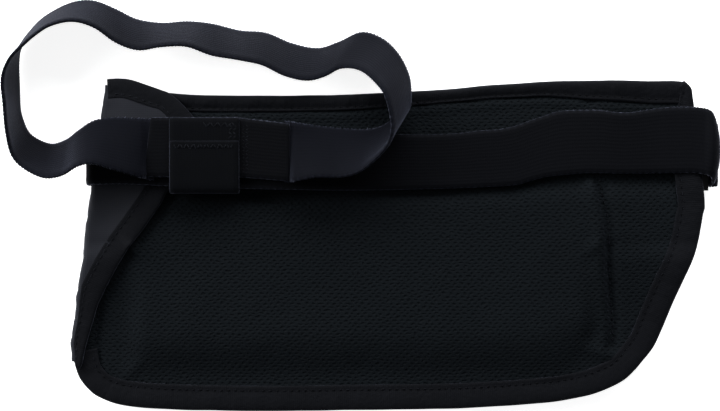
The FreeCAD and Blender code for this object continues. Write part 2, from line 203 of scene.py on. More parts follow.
def panel(name, polygon, low, high, pitch, material, nodes, extra_lines=()):
    """Closed sheet over a polygon, between the height functions low(x, y) and high(x, y)."""
    edge = resample(np.vstack([polygon, polygon[:1]]), pitch * 0.8)[:-1]
    lo, hi = edge.min(0), edge.max(0)
    xs = np.arange(lo[0], hi[0], pitch)
    ys = np.arange(lo[1], hi[1], pitch * 0.866)
    grid = np.array([(x + (pitch / 2 if j % 2 else 0), y) for j, y in enumerate(ys) for x in xs])
    closed = np.vstack([edge, edge[:1]])
    keep = inside(grid, edge) & (distance_to(grid, closed) > pitch * 0.45)
    extra = [p for line in extra_lines for p in line]
    if extra:
        extra = np.array(extra)
        extra = extra[inside(extra, edge) & (distance_to(extra, closed) > pitch * 0.3)]
        far = np.min(np.linalg.norm(grid[:, None, :] - extra[None, :, :], axis=2), axis=1)
        keep &= far > pitch * 0.45
        points = np.vstack([edge, grid[keep], extra])
    else:
        points = np.vstack([edge, grid[keep]])
    n_edge = len(edge)
    rim = [(i, (i + 1) % n_edge) for i in range(n_edge)]
    found = delaunay_2d_cdt([Vector(p) for p in points], rim, [], 1, 1e-4)
    plan, tris = found[0], found[2]
    count = len(plan)
    verts = [(p.x, p.y, high(p.x, p.y)) for p in plan] + [(p.x, p.y, low(p.x, p.y)) for p in plan]
    faces = [tuple(t) for t in tris] + [tuple(i + count for i in reversed(t)) for t in tris]
    used = {}
    for t in tris:
        for a, b in zip(t, list(t[1:]) + [t[0]]):
            used[(a, b)] = True
    for a, b in used:
        if (b, a) not in used:
            faces.append((b, a, a + count, b + count))
    obj = add_object(name, verts, faces, "pouch", material, nodes)
    return obj


def sweep(name, stations, body, material, nodes=(), uvs_per_station=None, cap=True):
    """Closed tube through rings of points; every station is one ring."""
    rings = [np.asarray(r, float) for r in stations]
    n = len(rings[0])
    verts = [tuple(p) for r in rings for p in r]
    faces = []
    for i in range(len(rings) - 1):
        for k in range(n):
            a, b = i * n + k, i * n + (k + 1) % n
            faces.append((a, b, b + n, a + n))
    if cap:
        faces.append(tuple(range(n - 1, -1, -1)))
        faces.append(tuple((len(rings) - 1) * n + k for k in range(n)))
    uvs = None
    if uvs_per_station is not None:
        uvs = [uv for ring in uvs_per_station for uv in ring]
    return add_object(name, verts, faces, body, material, nodes, uvs)


def ribbon(name, feet, heads, thick, body, material, nodes, seed, pitch=0.6, columns=14,
           teeth=0.22, belly=lambda p: 0.0, ripple=0.0):
    """Knitted strap through matching selvage lines, with scalloped edges and rounded selvages."""
    feet, heads = np.asarray(feet, float), np.asarray(heads, float)
    both = resample(np.hstack([feet, heads]), pitch, guide=(feet + heads) / 2)
    low, high = both[:, :3], both[:, 3:]
    mid = (low + high) / 2
    travel = np.gradient(mid, axis=0)
    across = high - low
    width = np.linalg.norm(across, axis=1, keepdims=True)
    across = across / width
    normal = np.cross(travel, across)
    normal /= np.linalg.norm(normal, axis=1, keepdims=True)
    run = np.concatenate([[0], np.cumsum(np.linalg.norm(np.diff(mid, axis=0), axis=1))])
    rings, uvs = [], []
    for i in range(len(mid)):
        tooth = teeth * math.sin(run[i] * 2 * math.pi / 1.45)
        wave = ripple * noise.noise(Vector((run[i] / 16.0, seed, 0.0)))
        top, under = [], []
        for k in range(columns + 1):
            v = k / columns
            swell = 0.5 * thick * (0.80 + 0.20 * min(1.0, 8 * min(v, 1 - v)))
            selvage = 0.20 * math.exp(-((min(v, 1 - v) * STRAP_WIDTH - 1.5) / 0.7) ** 2)
            bow = belly(mid[i]) * (4 * v * (1 - v)) + wave * (2 * v - 1)
            place = low[i] + across[i] * (v * width[i] + (2 * v - 1) * tooth)
            top.append(place + normal[i] * (swell + selvage + bow))
            under.append(place - normal[i] * (swell + selvage - bow))
        rim_high = high[i] + across[i] * (tooth + 0.35)
        rim_low = low[i] - across[i] * (tooth + 0.35)
        ring = top + [rim_high + normal[i] * wave] + under[::-1] + [rim_low - normal[i] * wave]
        rings.append(ring)
        row = [(run[i] / 10, k / columns * 2.5) for k in range(columns + 1)]
        uvs.append(row + [(run[i] / 10, 2.55)] + row[::-1] + [(run[i] / 10, -0.05)])
    return sweep(name, rings, body, material, nodes, uvs)


def stitches(name, line, body, material, pitch=3.2, length=2.1, radius=0.22, lift=0.05, turn=0.0):
    """Row of sewn threads along a line of 3D points; turn tilts each stitch in plan."""
    line = np.asarray(line, float)
    run = np.concatenate([[0], np.cumsum(np.linalg.norm(np.diff(line, axis=0), axis=1))])
    verts, faces = [], []
    profile = [(-0.5, 0.0, -0.9), (-0.36, 0.75, 0.0), (-0.15, 1.0, 0.6),
               (0.15, 1.0, 0.6), (0.36, 0.75, 0.0), (0.5, 0.0, -0.9)]
    count = int(run[-1] / pitch)
    for s in range(count):
        at = (s + 0.5) * pitch
        a = np.array([np.interp(at - 0.4, run, line[:, k]) for k in range(3)])
        b = np.array([np.interp(at + 0.4, run, line[:, k]) for k in range(3)])
        centre = (a + b) / 2
        way = (b - a) / max(1e-9, np.linalg.norm(b - a))
        side = np.cross((0, 0, 1), way)
        side /= max(1e-9, np.linalg.norm(side))
        angle = turn * (1 if s % 2 else -1) + random.uniform(-0.06, 0.06)
        way, side = way * math.cos(angle) + side * math.sin(angle), side * math.cos(angle) - way * math.sin(angle)
        up = np.cross(way, side)
        if up[2] < 0:
            up = -up
        start = len(verts)
        for along, fat, rise in profile:
            for k in range(6):
                turn_k = 2 * math.pi * k / 6
                offset = side * math.cos(turn_k) + up * math.sin(turn_k)
                spine = centre + way * along * length + up * (lift + radius * rise)
                verts.append(spine + offset * radius * max(0.15, fat))
        for r in range(len(profile) - 1):
            for k in range(6):
                a0, b0 = start + r * 6 + k, start + r * 6 + (k + 1) % 6
                faces.append((a0, b0, b0 + 6, a0 + 6))
        faces.append(tuple(start + k for k in range(5, -1, -1)))
        faces.append(tuple(start + (len(profile) - 1) * 6 + k for k in range(6)))
    return add_object(name, verts, faces, body, material)


# ------------------------------------------------------------------ materials
class Graph:
    """Short names for building a node material."""

    def __init__(self, name):
        self.material = bpy.data.materials.new(name)
        self.material.use_nodes = True
        self.tree = self.material.node_tree
        self.shader = self.tree.nodes["Principled BSDF"]
        self.coords = self.tree.nodes.new("ShaderNodeTexCoord")

    def put(self, kind, inputs=(), **settings):
        node = self.tree.nodes.new(kind)
        for key, value in settings.items():
            setattr(node, key, value)
        for key, value in dict(inputs).items():
            if hasattr(value, "is_output"):
                self.tree.links.new(value, node.inputs[key])
            else:
                node.inputs[key].default_value = value
        return node

    def math(self, operation, a, b=0.0, clamp=False):
        return self.put("ShaderNodeMath", {0: a, 1: b}, operation=operation, use_clamp=clamp).outputs[0]

    def scaled(self, scale, source="Object"):
        mapping = self.put("ShaderNodeMapping", {"Vector": self.coords.outputs[source], "Scale": scale})
        return mapping.outputs[0]

    def noise(self, vector, scale, detail=3.0, rough=0.55):
        made = self.put("ShaderNodeTexNoise", {"Vector": vector, "Scale": scale, "Detail": detail, "Roughness": rough})
        return made.outputs["Fac"]

    def wave(self, vector, scale, direction, distortion=0.0):
        made = self.put("ShaderNodeTexWave", {"Vector": vector, "Scale": scale, "Distortion": distortion},
                        bands_direction=direction)
        return made.outputs["Fac"]

    def ramp(self, fac, stops):
        node = self.put("ShaderNodeValToRGB", {"Fac": fac})
        while len(node.color_ramp.elements) < len(stops):
            node.color_ramp.elements.new(0.5)
        for element, (place, colour) in zip(node.color_ramp.elements, stops):
            element.position = place
            element.color = (*colour, 1.0)
        return node.outputs["Color"]

    def bump(self, height, strength, distance, under=None):
        inputs = {"Height": height, "Strength": strength, "Distance": distance}
        if under is not None:
            inputs["Normal"] = under
        return self.put("ShaderNodeBump", inputs).outputs["Normal"]

    def link(self, output, socket):
        self.tree.links.new(output, self.shader.inputs[socket])

    def set(self, **values):
        for key, value in values.items():
            self.shader.inputs[key.replace("_", " ")].default_value = value


def shade(colour, factor):
    return tuple(c * factor for c in colour)


def cloth_look(graph, colour, height, spread, rough, sheen):
    """Colour, roughness and sheen common to every fabric; height is 0..1 and its low parts get painted shade,
    darkening the pits.
    """
    big = graph.noise(graph.coords.outputs["Object"], 22.0, 3.0)
    # Painted shade: low parts of the height pattern (pits, mesh holes, gaps between threads) are darkened; on straps
    # the raised selvage part is a painted highlight.
    pit_shade_and_edge_highlight = graph.math("MULTIPLY_ADD", height, 0.75)
    graph.tree.nodes[-1].inputs[2].default_value = 0.0
    mixed = graph.math("MULTIPLY_ADD", big, 0.45)
    graph.tree.nodes[-1].inputs[2].default_value = -0.1
    total = graph.math("ADD", pit_shade_and_edge_highlight, mixed, clamp=True)
    dark, light = shade(colour, 1 - spread), shade(colour, 1 + spread)
    graph.link(graph.ramp(total, [(0.0, dark), (1.0, light)]), "Base Color")
    level = graph.math("MULTIPLY_ADD", big, 0.16)
    graph.tree.nodes[-1].inputs[2].default_value = rough - 0.08
    graph.link(level, "Roughness")
    graph.set(Sheen_Weight=sheen, Sheen_Roughness=0.34, Specular_IOR_Level=0.045)
    graph.shader.inputs["Sheen Tint"].default_value = (0.66, 0.72, 1.0, 1.0)


def spacer_mesh():
    """Air mesh: staggered oval holes, 3.0 by 1.55 mm apart, in a lightly crumpled knit."""
    g = Graph("spacer_mesh")
    bend = g.put("ShaderNodeTexNoise", {"Vector": g.scaled((1, 1, 1)), "Scale": 260.0, "Detail": 3.0})
    shift = g.put("ShaderNodeVectorMath", {0: bend.outputs["Color"], 1: (0.0034, 0.0024, 0.0)}, operation="MULTIPLY")
    moved = g.put("ShaderNodeVectorMath", {0: g.coords.outputs["Object"], 1: shift.outputs[0]}, operation="ADD")
    cells = g.put("ShaderNodeMapping", {"Vector": moved.outputs[0], "Scale": (333.3, 700.0, 1000.0)}).outputs[0]
    parts = g.put("ShaderNodeSeparateXYZ", {0: cells})
    row = g.math("FLOOR", parts.outputs[1])
    stagger = g.math("MULTIPLY", g.math("FLOORED_MODULO", row, 2.0), 0.5)
    across = g.math("SUBTRACT", g.math("FRACT", g.math("ADD", parts.outputs[0], stagger)), 0.5)
    along = g.math("SUBTRACT", g.math("FRACT", parts.outputs[1]), 0.5)
    wide = g.math("MULTIPLY", across, across)
    tall = g.math("MULTIPLY", along, along)
    from_hole = g.math("SQRT", g.math("ADD", g.math("MULTIPLY", wide, 2.3), g.math("MULTIPLY", tall, 1.5)))
    ridge = g.math("MULTIPLY", g.math("SUBTRACT", from_hole, 0.20), 3.4, clamp=True)
    in_mm = g.scaled((1000, 1000, 1000))
    knit = g.wave(in_mm, 0.62, "DIAGONAL", 0.6)
    fine = g.noise(g.scaled((1, 1, 1)), 1700.0, 2.0)
    # Painted shade: the holes between the ridges come out darker through cloth_look.
    cloth_look(g, (0.0034, 0.0047, 0.0060), ridge, 0.26, 0.78, 0.07)
    n1 = g.bump(ridge, 0.62, 0.00055)
    n2 = g.bump(knit, 0.30, 0.00016, n1)
    g.link(g.bump(fine, 0.6, 0.00022, n2), "Normal")
    return g.material


def knitted_strap(name, colour, rib=1.0, edge=1.0):
    """Elastic webbing whose selvages get a painted highlight in colour and sheen; the UV map is in centimetres along
    and across the strap.
    """
    g = Graph(name)
    uv = g.coords.outputs["UV"]
    ribs = g.wave(g.scaled((1, 1, 1), "UV"), 2.1 * rib, "Y", 1.6)
    courses = g.wave(g.scaled((1, 1, 1), "UV"), 3.4, "X", 4.0)
    weave = g.math("MULTIPLY", ribs, courses)
    fuzz = g.noise(uv, 60.0, 3.0)
    place = g.put("ShaderNodeSeparateXYZ", {0: uv}).outputs[1]
    from_middle = g.math("ABSOLUTE", g.math("SUBTRACT", place, 1.25))
    selvage = g.math("MULTIPLY", g.math("SUBTRACT", from_middle, 1.15), 14.0, clamp=True)
    # Painted highlight: the scalloped selvage loops lighten the colour, as if the edges caught the light from above.
    loops = g.math("MULTIPLY", selvage, g.wave(g.scaled((1, 1, 1), "UV"), 1.1, "X", 0.2))
    height = g.math("ADD", g.math("MULTIPLY", weave, 0.5), g.math("MULTIPLY", loops, 1.3 * edge))
    cloth_look(g, colour, height, 0.32, 0.80, 0.14)
    # Painted highlight: extra sheen along the selvages.
    selvage_sheen_highlight = g.math("MULTIPLY_ADD", loops, 0.30 * edge)
    g.tree.nodes[-1].inputs[2].default_value = 0.13
    g.link(selvage_sheen_highlight, "Sheen Weight")
    n1 = g.bump(ribs, 0.22, 0.00018)
    n2 = g.bump(courses, 0.10, 0.00014, n1)
    g.link(g.bump(fuzz, 0.5, 0.00014, n2), "Normal")
    return g.material


def woven(name, colour, thread_mm, rough, sheen, bump=0.3, creases=0.0, ripstop=0.0):
    """Plain weave; thread_mm is the thread pitch."""
    g = Graph(name)
    scale = 1000.0 / thread_mm / 20.0 * 3.2
    warp = g.wave(g.coords.outputs["Object"], scale, "X", 0.3)
    weft = g.wave(g.coords.outputs["Object"], scale, "Y", 0.3)
    cross = g.math("MULTIPLY", warp, weft)
    height = cross
    if ripstop:
        in_mm = g.scaled((1000, 1000, 1000))
        brick = g.put("ShaderNodeTexBrick", {
            "Vector": in_mm, "Scale": 1.0, "Mortar Size": 0.16, "Mortar Smooth": 0.6, "Bias": 0.0,
            "Brick Width": ripstop, "Row Height": ripstop}, offset=0.0, squash=1.0)
        height = g.math("MAXIMUM", cross, brick.outputs["Fac"])
    cloth_look(g, colour, height, 0.22, rough, sheen)
    normal = g.bump(height, bump, 0.00014)
    if creases:
        soft = g.noise(g.scaled((1, 0.35, 1)), 70.0, 4.0, 0.6)
        normal = g.bump(soft, creases, 0.0012, normal)
    g.link(normal, "Normal")
    return g.material


def ribbed_tape(name, colour):
    """Binding tape; fine ribs run across it, UV in centimetres."""
    g = Graph(name)
    ribs = g.wave(g.scaled((1, 1, 1), "UV"), 3.6, "X", 0.5)
    fuzz = g.noise(g.coords.outputs["Object"], 520.0, 4.0)
    cloth_look(g, colour, g.math("MULTIPLY", ribs, fuzz), 0.34, 0.74, 0.12)
    n1 = g.bump(ribs, 0.3, 0.00016)
    n2 = g.bump(fuzz, 0.8, 0.00040, n1)
    g.link(n2, "Normal")
    return g.material


def hard(name, colour, rough, metallic=0.0, grain=0.25):
    """Moulded plastic or lacquered metal with a fine spark-eroded grain and scuffed, worn patches."""
    g = Graph(name)
    grain_fac = g.noise(g.coords.outputs["Object"], 1500.0, 2.0)
    scuffs = g.noise(g.scaled((1, 6, 1)), 90.0, 5.0, 0.65)
    g.link(g.ramp(scuffs, [(0.35, shade(colour, 0.85)), (0.75, shade(colour, 1.5))]), "Base Color")
    level = g.math("MULTIPLY_ADD", scuffs, 0.25)
    g.tree.nodes[-1].inputs[2].default_value = rough - 0.12
    g.link(level, "Roughness")
    g.set(Metallic=metallic, Specular_IOR_Level=0.45)
    g.link(g.bump(grain_fac, grain, 0.00006), "Normal")
    return g.material


def thread_look(name, colour):
    g = Graph(name)
    twist = g.wave(g.coords.outputs["Object"], 420.0, "DIAGONAL", 0.8)
    cloth_look(g, colour, twist, 0.35, 0.62, 0.15)
    g.link(g.bump(twist, 0.5, 0.00008), "Normal")
    return g.material


LOOK = {
    "mesh": spacer_mesh(),
    "strap": knitted_strap("knitted_elastic", (0.0028, 0.0032, 0.0046)),
    # Same belt elastic as the strap, made bluer: painted sheen tint of the light grazing the ring's standing walls.
    "ring": knitted_strap("ring_elastic_sheen_tint", (0.0027, 0.0032, 0.0056)),
    # Same belt elastic as the strap, made darker: painted shade on the raised sewn end.
    "strap_end": knitted_strap("strap_end_shaded_elastic", (0.0018, 0.0021, 0.0031)),
    "keeper": knitted_strap("keeper_elastic", (0.0013, 0.0017, 0.0026), 1.4, 0.15),
    "binding": ribbed_tape("binding_tape", (0.0045, 0.0050, 0.0066)),
    "wing": woven("wing_nylon", (0.0165, 0.0178, 0.0225), 0.45, 0.55, 0.10, 0.25, creases=0.5),
    "front": woven("front_nylon", (0.0140, 0.0155, 0.0190), 0.45, 0.60, 0.08, 0.3, creases=0.35, ripstop=5.0),
    "lining": woven("lining_nylon", (0.0200, 0.0210, 0.0230), 0.35, 0.62, 0.05, 0.25),
    "zip_tape": woven("zip_tape", (0.0080, 0.0085, 0.0100), 0.55, 0.78, 0.08, 0.4),
    "coil": hard("zip_coil", (0.0090, 0.0090, 0.0100), 0.42),
    "metal": hard("zip_metal", (0.0160, 0.0160, 0.0175), 0.36, 0.6, 0.15),
    "plastic": hard("buckle_plastic", (0.0110, 0.0110, 0.0120), 0.48),
    "thread": thread_look("sewing_thread", (0.0060, 0.0068, 0.0085)),
    # Much darker copy of the thread for stitches sunk into the bindings and pocket seams: painted shade in their
    # dimples.
    "dimple_shaded_thread": thread_look("dimple_shaded_thread", (0.0009, 0.0011, 0.0015)),
    "dark_thread": thread_look("binding_thread", (0.0032, 0.0036, 0.0046)),
}


# ------------------------------------------------------------------ builders for cloth pieces
def offset_line(line, distance, side=-1):
    """Line moved sideways; side -1 is to the right of its direction."""
    line = np.asarray(line, float)
    way = np.gradient(line, axis=0)
    way /= np.linalg.norm(way, axis=1, keepdims=True)
    normal = np.stack([-way[:, 1], way[:, 0]], axis=1) * side
    return line + normal * np.asarray(distance).reshape(-1, 1), normal


def clip_band(polygon, low_y, high_y):
    """Part of a polygon between two values of Y."""
    for limit, sign in ((low_y, 1), (high_y, -1)):
        out = []
        for a, b in zip(polygon, list(polygon[1:]) + [polygon[0]]):
            in_a, in_b = sign * (a[1] - limit) >= 0, sign * (b[1] - limit) >= 0
            if in_a:
                out.append(a)
            if in_a != in_b:
                t = (limit - a[1]) / (b[1] - a[1])
                out.append((a[0] + t * (b[0] - a[0]), limit))
        polygon = out
    return np.array(polygon, float)


def closed_grid(name, grid, thick, material, nodes):
    """Cloth of even thickness through a grid of points, rows by columns."""
    grid = np.asarray(grid, float)
    rows, cols = grid.shape[:2]
    du, dv = np.gradient(grid, axis=0), np.gradient(grid, axis=1)
    normal = np.cross(dv, du)
    normal /= np.maximum(1e-9, np.linalg.norm(normal, axis=2, keepdims=True))
    under = grid - normal * thick
    verts = [tuple(p) for p in grid.reshape(-1, 3)] + [tuple(p) for p in under.reshape(-1, 3)]
    half = rows * cols
    faces = []
    for i in range(rows - 1):
        for j in range(cols - 1):
            a = i * cols + j
            faces.append((a, a + 1, a + cols + 1, a + cols))
            faces.append((a + half, a + cols + half, a + cols + 1 + half, a + 1 + half))
    rim = [j for j in range(cols)] + [i * cols + cols - 1 for i in range(1, rows)]
    rim += [(rows - 1) * cols + j for j in range(cols - 2, -1, -1)] + [i * cols for i in range(rows - 2, 0, -1)]
    for a, b in zip(rim, rim[1:] + rim[:1]):
        faces.append((b, a, a + half, b + half))
    return add_object(name, verts, faces, "pouch", material, nodes)


def binding(name, path, widths, upper, lower, side, nodes, puff=0.55, seed=0.0, pitch=1.3):
    """Fabric tape folded over an edge: rolled outside, pressed down along its seam."""
    path = resample(path, pitch)
    count = len(path)
    run = np.concatenate([[0], np.cumsum(np.linalg.norm(np.diff(path, axis=0), axis=1))])
    width = np.array([widths(p) for p in path])
    _, normal = offset_line(path, np.zeros(count), side)
    spread = np.pad(normal, ((5, 5), (0, 0)), mode="edge")
    normal = sum(spread[k:k + count] for k in range(11)) / 11.0
    rings, uvs = [], []
    shape = [(1.0, 0.12), (0.97, 0.42), (0.88, 0.34), (0.80, 0.22), (0.72, 0.34), (0.6, 0.62), (0.42, 0.85),
             (0.26, 0.92), (0.12, 0.80), (0.04, 0.52)]
    for i in range(count):
        p, n, w = path[i], normal[i], width[i]
        pucker = 1.0 + 0.45 * noise.noise(Vector((run[i] / 5.0, seed, 1.7)))
        pucker += 0.20 * math.sin(run[i] * 2 * math.pi / 3.0)
        wave = 0.22 * noise.noise(Vector((run[i] / 14.0, seed, 5.1)))
        top, low, inner_top, inner_low = [], [], [], []
        for d, rise in shape:
            x, y = p + n * (d * w + wave)
            top.append((x, y, upper(x, y) + rise * puff * pucker + 0.08))
            low.append((x, y, lower(x, y) - rise * puff * 0.8 - 0.05))
            xi, yi = p + n * max(d * w, 0.9)
            inner_top.append((xi, yi, upper(xi, yi) + 0.01))
            inner_low.append((xi, yi, lower(xi, yi) - 0.01))
        x, y = p - n * 0.1
        middle = (upper(x, y) + lower(x, y)) / 2
        half = (upper(x, y) - lower(x, y)) / 2
        roll = []
        for k in range(1, 6):
            angle = math.pi * k / 6
            out = p - n * (0.45 * math.sin(angle)) + n * wave
            roll.append((out[0], out[1], middle + (half + 0.3) * math.cos(angle)))
        ring = top + roll + low[::-1] + inner_low + inner_top[::-1]
        rings.append(ring)
        uvs.append([(run[i] / 10, 0.08 * k) for k in range(len(ring))])
    obj = sweep(name, rings, "pouch", LOOK["binding"], nodes, uvs)
    return obj, path, normal, width


def seam_on(path, normal, width, share, height, lift):
    """Line of 3D points on a binding, at a share of its width from the edge."""
    flat = path + normal * (width * share)[:, None]
    return [(x, y, height(x, y) + lift) for x, y in flat]


# ------------------------------------------------------------------ pouch panels
edge_line = resample(smooth_line(OUTLINE, 6), 1.5)
closed_edge = np.vstack([edge_line, smooth_line([OUTLINE[-1], OUTLINE[0]], 4)])
panel_edge, _ = offset_line(resample(closed_edge, 2.0), 1.0)

STRAP_TOP = [
    (143.0, 14.2, 41.6), (132.0, 14.2, 41.6), (123.0, 14.1, 40.5), (115.0, 14.0, 39.3), (108.0, 14.1, 39.4),
    (101.5, 14.2, 40.2), (93.5, 14.0, 40.2), (85.0, 13.2, 39.8), (78.6, 12.4, 37.9), (72.0, 10.7, 35.7),
    (66.8, 9.2, 33.8), (60.0, 8.6, 32.2), (50.0, 8.1, 31.4), (42.5, 7.8, 30.5), (34.0, 7.5, 30.0),
    (25.5, 7.3, 29.8), (8.0, 6.9, 30.2), (-12.0, 6.8, 31.0), (-31.0, 7.1, 31.5), (-50.0, 7.5, 32.0),
    (-75.0, 8.2, 33.2), (-98.0, 9.4, 34.4), (-110.0, 9.3, 34.3),
]
RIGHT_SEAM = smooth_line([(102.2, 15.0), (102.9, 6.2), (105.9, -8.3), (106.4, -25.7), (107.6, -41.9),
                          (108.3, -52.4), (107.8, -60.0)], 8)
LEFT_SEAM = smooth_line([(-112.6, -72.0), (-112.8, -66.0), (-112.4, -50.0), (-108.0, -20.0)], 8)
seams = np.vstack([resample(RIGHT_SEAM, 1.2), [(1e4, 1e4)], resample(LEFT_SEAM, 1.2)])
BESIDE = (-3.8, -2.2, -1.0, 0.0, 1.0, 2.2, 3.8)


def seam_relief(x, y):
    """Groove and swollen sides of the vertical pocket seams; the pocket side stands higher."""
    away = (seams[:, 0] - x) ** 2 + (seams[:, 1] - y) ** 2
    nearest = int(np.argmin(away))
    near = float(away[nearest]) ** 0.5
    if seams[nearest, 0] < 0.0:
        return -1.0 * math.exp(-((near / 1.8) ** 2))
    swell = 1.5 * step((seams[nearest, 0] - x + 1.0) / 3.0) + 0.4
    return -2.6 * math.exp(-((near / 1.8) ** 2)) + swell * math.exp(-(((near - 4.4) / 2.8) ** 2))


TOP_WIDTHS = [(-72.0, 6.8), (0.0, 6.2), (38.0, 5.2), (60.0, 5.4), (78.0, 5.8), (98.0, 7.7), (127.0, 9.4)]
TOP_RUN = np.array(OUTLINE[:10])


def top_width(x):
    return float(np.interp(x, [w[0] for w in TOP_WIDTHS], [w[1] for w in TOP_WIDTHS]))


def under_top_binding(x, y):
    """Groove along the top binding's seam and the ridge of mesh pushed up below it."""
    gap = float(np.interp(x, TOP_RUN[:, 0], TOP_RUN[:, 1])) - top_width(x) - y
    return -0.9 * math.exp(-((gap / 0.9) ** 2)) + 0.75 * math.exp(-(((gap - 2.2) / 1.2) ** 2))


def strap_edge(x):
    """Y of the lower selvage of the belt lying over the pouch."""
    return float(np.interp(-x, [-p[0] for p in STRAP_TOP], [p[1] for p in STRAP_TOP]))


def brow(y):
    """Ridge of the layer model where the pocket meets the zips, taken out of the back panel."""
    upper, full = over_buckle(y), step((POCKET_HIGH - y) / 13.0)
    raised = BUCKLE_ROOM * upper + EDGE_RISE * (1.0 - full) * (1.0 - upper)
    return raised + (FRONT_DEPTH + MAIN_DEPTH) * full - 8.95


def slack_foot(x, y):
    """The back panel slopes to the lower seam more slowly than the pocket inside it."""
    near = min(y - POCKET_LOW, corner_distance(x, y))
    return 4.2 * (step(near / SEAM_RUN) - step(near / 26.0))


def back_top(x, y):
    """Outer face of the mesh back, with its seams, its sag beside the belt and its slack."""
    soft = 0.30 * wobble(x, y, 19.0, 1) + 0.16 * wobble(x, y, 7.0, 2)
    right = step((x - 55.0) / 40.0)
    trough = (1.8 + 1.0 * right) * math.exp(-(((y - strap_edge(x)) / (4.6 + 1.6 * right)) ** 2))
    trough *= step((143.0 - x) / 10.0)
    pinch = 0.7 * math.exp(-((x - 98.0) ** 2 + (y - 44.0) ** 2) / 9.0)
    flat = step((x - POCKET_LEFT) / SEAM_RUN) * step((108.0 - x) / SEAM_RUN)
    base = top_z(x, y) + ease(x, y) - flat * (brow(y) + slack_foot(x, y))
    surface = base + seam_relief(x, y) + under_top_binding(x, y) + soft - trough - pinch
    return max(surface, divider_z(x, y) + LINING + 1.1)


def back_low(x, y):
    surface = back_top(x, y)
    return min(max(back_z(x, y), surface - MESH_THICK) - 0.3, surface - 0.9)


panel("back_panel_mesh", panel_edge, back_low, back_top, 2.1, LOOK["mesh"], ["back_panel"],
      extra_lines=[offset_line(resample(seam, 1.4), d)[0] for seam in (RIGHT_SEAM, LEFT_SEAM) for d in BESIDE])
panel("pocket_divider_sheet", panel_edge, divider_z, lambda x, y: divider_z(x, y) + LINING, 4.5,
      LOOK["lining"], ["pocket_divider"])


def front_low(x, y):
    soft = 0.22 * wobble(x, y, 15.0, 3) + 0.14 * wobble(x, y, 6.0, 4)
    return front_z(x, y) + max(0.0, 0.25 + soft) + max(0.0, seam_relief(x, y) * -0.3)


def front_top(x, y):
    return front_z(x, y) + NYLON


def tape_low(x, y):
    return front_z(x, y) + 0.1


PANEL_START = 4.2
bands = {
    "front_panel_pocket": (-95.0, ZIP_LINES["front"] - PANEL_START),
    "front_panel_middle": (ZIP_LINES["front"] + PANEL_START, ZIP_LINES["main"] - PANEL_START),
    "front_panel_top": (ZIP_LINES["main"] + PANEL_START, 60.0),
}
pocket_hems = [f"front_panel_hem_{side}" for side in ("lower", "left", "right", "upper")]
for name, (y0, y1) in bands.items():
    strip = clip_band([tuple(p) for p in panel_edge], y0, y1)
    hems = pocket_hems if name == "front_panel_pocket" else []
    panel(name + "_cloth", strip, front_low, front_top, 3.0, LOOK["front"], [name] + hems)
for zip_name, centre in ZIP_LINES.items():
    for part, y0, y1 in (("lower", centre - TAPE_HALF, centre - 0.15), ("upper", centre + 0.15, centre + TAPE_HALF)):
        strip = clip_band([tuple(p) for p in panel_edge], y0, y1)
        panel(f"{zip_name}_zip_tape_{part}_weave", strip, tape_low, front_top, 1.9, LOOK["zip_tape"],
              [f"{zip_name}_zip_tape_{part}"])

# ------------------------------------------------------------------ bindings
TOP_EDGE = OUTLINE[:10] + [(134.0, 52.8), (138.6, 52.4)]
SIDE_EDGE = [(138.2, 53.0), (141.0, 50.2)] + OUTLINE[13:40] + [(-122.9, -63.0)]


def edge_width(p):
    on_side = 6.0 + 5.4 * step((-p[1] + 50.0) / 26.0)
    return on_side - 0.9 * step((-p[1] - 45.0) / 30.0)


def lifted(x, y):
    return top_z(x, y) + ease(x, y) + 0.55


top_binding = binding("edge_binding_top", smooth_line(TOP_EDGE, 8), lambda p: top_width(p[0]), top_z, front_z, -1,
                      ["edge_binding"], seed=1.0, puff=1.3)
side_binding = binding("edge_binding_side", smooth_line(SIDE_EDGE, 8), edge_width, lifted, front_z, -1,
                       ["edge_binding"], seed=2.0, puff=0.85)
for name, made, upper in (("top", top_binding, top_z), ("side", side_binding, lifted)):
    _, path, normal, width = made
    line = seam_on(path, normal, width, 0.80, upper, 0.22)
    stitches(f"edge_stitching_{name}", line, "pouch", LOOK["dimple_shaded_thread"], pitch=3.0, length=1.9,
             radius=0.3, lift=-0.05)

# ------------------------------------------------------------------ folded left wing
FOLD = [(-121.7, -70.0), (-122.1, -64.0), (-122.3, -57.9), (-120.9, -49.3), (-120.0, -40.7), (-118.8, -32.2),
        (-117.1, -23.6), (-116.2, -15.0), (-115.2, -6.4), (-114.0, 2.1), (-108.9, 38.5), (-107.6, 48.0),
        (-107.0, 53.0)]
FREE = [(-120.0, -69.6), (-118.8, -67.0), (-116.5, -56.8), (-112.3, -42.9), (-105.9, -30.0), (-100.8, -21.1),
        (-91.9, -9.1), (-85.0, 0.6), (-81.3, 7.1), (-71.5, 10.6), (-67.0, 14.5), (-66.0, 24.0), (-67.6, 31.0),
        (-71.9, 38.5), (-80.0, 46.6), (-85.0, 48.9), (-91.4, 51.1), (-97.8, 53.1), (-102.5, 53.6),
        (-105.2, 53.5), (-107.4, 53.3)]
WING_LIFT = 1.2
WING_TOP = WING_LIFT + 1.8


def wing_low(x, y):
    return top_z(x, y) + ease(x, y) + WING_LIFT


def wing_high(x, y):
    return top_z(x, y) + ease(x, y) + WING_TOP


